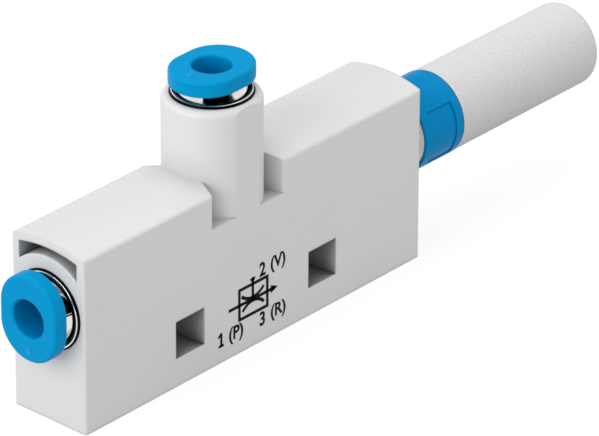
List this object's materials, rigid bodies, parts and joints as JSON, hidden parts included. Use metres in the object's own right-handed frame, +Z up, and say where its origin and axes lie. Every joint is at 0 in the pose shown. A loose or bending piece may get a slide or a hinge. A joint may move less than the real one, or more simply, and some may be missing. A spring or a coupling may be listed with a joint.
{
  "type": "vacuum ejector",
  "caption": "Inline pneumatic vacuum ejector: T-shaped moulded body with push-in tube ports for air and vacuum, square mounting holes and an open porous silencer.",
  "frame": {"origin": "on the flat base, midway between the two square mounting holes and between the two sides", "axes": "+X along the body from the air port to the silencer, +Y across the body, +Z up along the vacuum port's tower"},
  "size_m": [0.085, 0.01, 0.0314],
  "materials": {
    "grey_housing": "light grey glass-filled nylon, fine satin",
    "ring_plastic": "blue acetal, satin",
    "collar_plastic": "blue acetal, satin",
    "nickel": "nickel-plated brass, polished",
    "brass": "turned, bare",
    "rubber": "nitrile rubber, matt",
    "support_plastic": "natural acetal",
    "porous_element": "sintered polyethylene, open fine grain"
  },
  "bodies": {
    "root": {"housing": "grey_housing", "jet_nozzle": "brass", "jet_nozzle_oring": "rubber", "receiver_nozzle": "brass", "receiver_nozzle_oring": "rubber", "port1_sleeve": "nickel", "port1_support_ring": "support_plastic", "port1_tube_seal": "rubber", "port2_sleeve": "nickel", "port2_support_ring": "support_plastic", "port2_tube_seal": "rubber", "silencer_sleeve": "nickel", "silencer_collar": "collar_plastic", "silencer_oring": "rubber", "silencer_element": "porous_element"},
    "port1_release": {"port1_collet": "nickel", "port1_release_ring": "ring_plastic"},
    "port2_release": {"port2_collet": "nickel", "port2_release_ring": "ring_plastic"}
  },
  "joints": [
    {"name": "port1_push", "type": "slide", "parent": "root", "child": "port1_release", "axis": [1, 0, 0], "range_m": [0, 0.0009], "stiffness_N_per_m": 200, "springref_m": -0.001},
    {"name": "port2_push", "type": "slide", "parent": "root", "child": "port2_release", "axis": [0, 0, -1], "range_m": [0, 0.0009], "stiffness_N_per_m": 200, "springref_m": -0.001}
  ]
}
